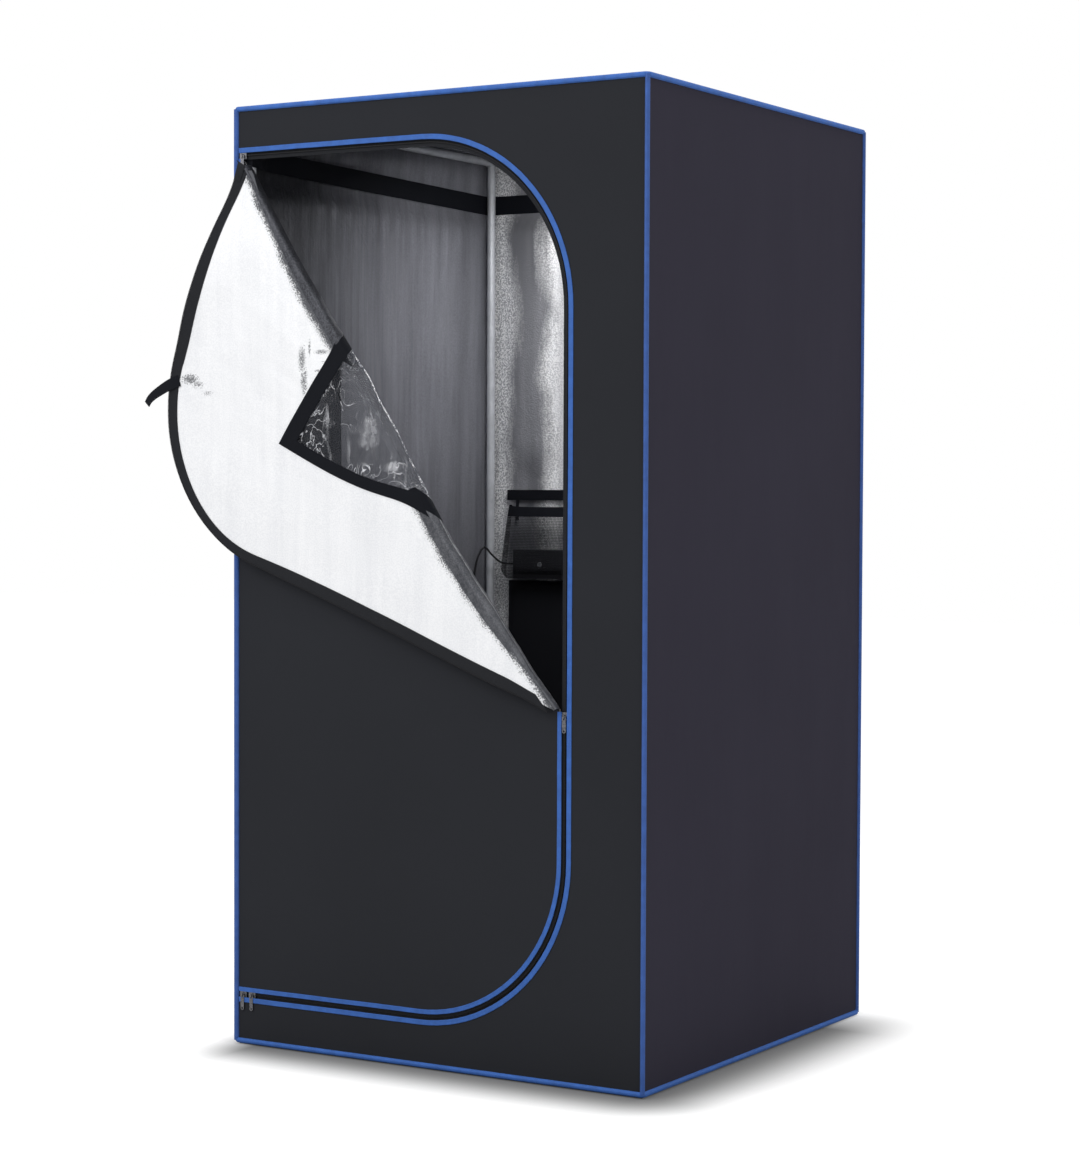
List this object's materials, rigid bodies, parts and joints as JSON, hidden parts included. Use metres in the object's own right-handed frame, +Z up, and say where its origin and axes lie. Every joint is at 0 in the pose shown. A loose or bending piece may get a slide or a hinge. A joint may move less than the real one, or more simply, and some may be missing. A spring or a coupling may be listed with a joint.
{
  "type": "portable infrared sauna cabin",
  "caption": "Square cloth sauna tent on a steel tube frame, with a zipped D-shaped door folded part open, a window, wall heating panels and a wired controller.",
  "frame": {"origin": "centre of the square base, on the floor under the floor cloth", "axes": "+Z up; the door faces -Y; +X to the right when looking at the door"},
  "size_m": [0.981, 0.8249, 1.605],
  "materials": {
    "cover_front": "woven synthetic cloth",
    "cover_left": "woven synthetic cloth",
    "cover_right": "woven synthetic cloth",
    "cover_back": "woven synthetic cloth",
    "cover_roof": "woven synthetic cloth",
    "cover_floor": "coated floor cloth",
    "edge_binding": "ribbed binding tape",
    "doorway_binding": "ribbed binding tape",
    "lining_left": "aluminised film, soft sheen",
    "lining_back": "aluminised film, soft sheen",
    "lining_right": "aluminised film, soft sheen",
    "lining_band": "black webbing",
    "zip_frame_half": "black webbing",
    "door_panel": "woven synthetic cloth",
    "door_panel_lining": "pale coated film, soft sheen",
    "door_panel_binding": "ribbed binding tape",
    "zip_panel_half": "black webbing",
    "window_border_panel": "black webbing",
    "window_film_panel": "clear soft film",
    "door_flap": "woven synthetic cloth",
    "door_flap_lining": "pale coated film, soft sheen",
    "door_flap_binding": "ribbed binding tape",
    "zip_flap_half": "black webbing",
    "window_border_flap": "black webbing",
    "window_film_flap": "clear soft film",
    "tie_strap": "black webbing",
    "door_fold_roll": "pale coated film, soft sheen",
    "slider_side": "nickel plated",
    "pull_side": "nickel plated",
    "slider_top": "nickel plated",
    "pull_top": "nickel plated",
    "slider_bottom_left": "nickel plated",
    "pull_bottom_left": "nickel plated",
    "slider_bottom_right": "nickel plated",
    "pull_bottom_right": "nickel plated",
    "heating_panel_left": "black padded cloth",
    "heating_panel_back": "black padded cloth",
    "heating_panel_right": "black padded cloth",
    "hanging_strip": "black webbing",
    "controller_pocket": "open mesh cloth",
    "controller_front_shell": "moulded, matte",
    "controller_back_shell": "moulded, matte",
    "controller_board": "printed circuit laminate",
    "power_button": "moulded, matte",
    "lead_left": "soft cable sheath",
    "lead_back": "soft cable sheath",
    "lead_right": "soft cable sheath",
    "cable_outlet": "moulded, matte",
    "rail_bottom_front": "grey coated steel tube",
    "rail_bottom_right": "grey coated steel tube",
    "rail_bottom_back": "grey coated steel tube",
    "rail_bottom_left": "grey coated steel tube",
    "rail_top_front": "grey coated steel tube",
    "rail_top_right": "grey coated steel tube",
    "rail_top_back": "grey coated steel tube",
    "rail_top_left": "grey coated steel tube",
    "upright_front_left": "grey coated steel tube",
    "upright_front_right": "grey coated steel tube",
    "upright_back_left": "grey coated steel tube",
    "upright_back_right": "grey coated steel tube"
  },
  "bodies": {
    "tent": {"cover_front": "cover_front", "cover_left": "cover_left", "cover_right": "cover_right", "cover_back": "cover_back", "cover_roof": "cover_roof", "cover_floor": "cover_floor", "edge_binding": "edge_binding", "doorway_binding": "doorway_binding", "lining_left": "lining_left", "lining_back": "lining_back", "lining_right": "lining_right", "lining_band": "lining_band", "zip_frame_half": "zip_frame_half", "door_panel": "door_panel", "door_panel_lining": "door_panel_lining", "door_panel_binding": "door_panel_binding", "zip_panel_half": "zip_panel_half", "window_border_panel": "window_border_panel", "window_film_panel": "window_film_panel", "door_fold_roll": "door_fold_roll", "heating_panel_left": "heating_panel_left", "heating_panel_back": "heating_panel_back", "heating_panel_right": "heating_panel_right", "hanging_strip": "hanging_strip", "controller_pocket": "controller_pocket", "controller_front_shell": "controller_front_shell", "controller_back_shell": "controller_back_shell", "controller_board": "controller_board", "lead_left": "lead_left", "lead_back": "lead_back", "lead_right": "lead_right", "cable_outlet": "cable_outlet", "rail_bottom_front": "rail_bottom_front", "rail_bottom_right": "rail_bottom_right", "rail_bottom_back": "rail_bottom_back", "rail_bottom_left": "rail_bottom_left", "rail_top_front": "rail_top_front", "rail_top_right": "rail_top_right", "rail_top_back": "rail_top_back", "rail_top_left": "rail_top_left", "upright_front_left": "upright_front_left", "upright_front_right": "upright_front_right", "upright_back_left": "upright_back_left", "upright_back_right": "upright_back_right"},
    "flap": {"door_flap": "door_flap", "door_flap_lining": "door_flap_lining", "door_flap_binding": "door_flap_binding", "zip_flap_half": "zip_flap_half", "window_border_flap": "window_border_flap", "window_film_flap": "window_film_flap", "tie_strap": "tie_strap"},
    "power_key": {"power_button": "power_button"},
    "slider_side": {"slider_side": "slider_side"},
    "pull_side": {"pull_side": "pull_side"},
    "slider_top": {"slider_top": "slider_top"},
    "pull_top": {"pull_top": "pull_top"},
    "slider_bottom_left": {"slider_bottom_left": "slider_bottom_left"},
    "pull_bottom_left": {"pull_bottom_left": "pull_bottom_left"},
    "slider_bottom_right": {"slider_bottom_right": "slider_bottom_right"},
    "pull_bottom_right": {"pull_bottom_right": "pull_bottom_right"}
  },
  "joints": [
    {"name": "door_fold", "type": "hinge", "parent": "tent", "child": "flap", "pos_m": [-0.385, -0.407, 1.513], "axis": [-0.5713, 0, 0.8208], "range_deg": [0, 180]},
    {"name": "slider_side_slide", "type": "slide", "parent": "tent", "child": "slider_side", "axis": [0, 0, 1], "range_m": [-0.226, 0.643]},
    {"name": "slider_top_slide", "type": "slide", "parent": "tent", "child": "slider_top", "axis": [1, 0, 0], "range_m": [0, 0.358]},
    {"name": "slider_bottom_right_slide", "type": "slide", "parent": "tent", "child": "slider_bottom_right", "axis": [1, 0, 0], "range_m": [0, 0.339]},
    {"name": "slider_bottom_left_slide", "type": "slide", "parent": "tent", "child": "slider_bottom_left", "axis": [1, 0, 0], "range_m": [0, 0.339]},
    {"name": "pull_side_hinge", "type": "hinge", "parent": "slider_side", "child": "pull_side", "pos_m": [0.255, -0.40215, 0.5943], "axis": [-1, 0, 0], "range_deg": [0, 170]},
    {"name": "pull_top_hinge", "type": "hinge", "parent": "slider_top", "child": "pull_top", "pos_m": [-0.3865, -0.40215, 1.5203], "axis": [-1, 0, 0], "range_deg": [0, 170]},
    {"name": "pull_bottom_right_hinge", "type": "hinge", "parent": "slider_bottom_right", "child": "pull_bottom_right", "pos_m": [-0.3675, -0.40215, 0.0853], "axis": [-1, 0, 0], "range_deg": [0, 170]},
    {"name": "pull_bottom_left_hinge", "type": "hinge", "parent": "slider_bottom_left", "child": "pull_bottom_left", "pos_m": [-0.3865, -0.40215, 0.0853], "axis": [-1, 0, 0], "range_deg": [0, 170]},
    {"name": "power_button_press", "type": "slide", "parent": "tent", "child": "power_key", "axis": [0, 1, 0], "range_m": [0, 0.001], "stiffness_N_per_m": 300}
  ],
  "couplings": [
    {"joint": "slider_bottom_left_slide", "follows": "slider_bottom_right_slide", "ratio": 1}
  ]
}
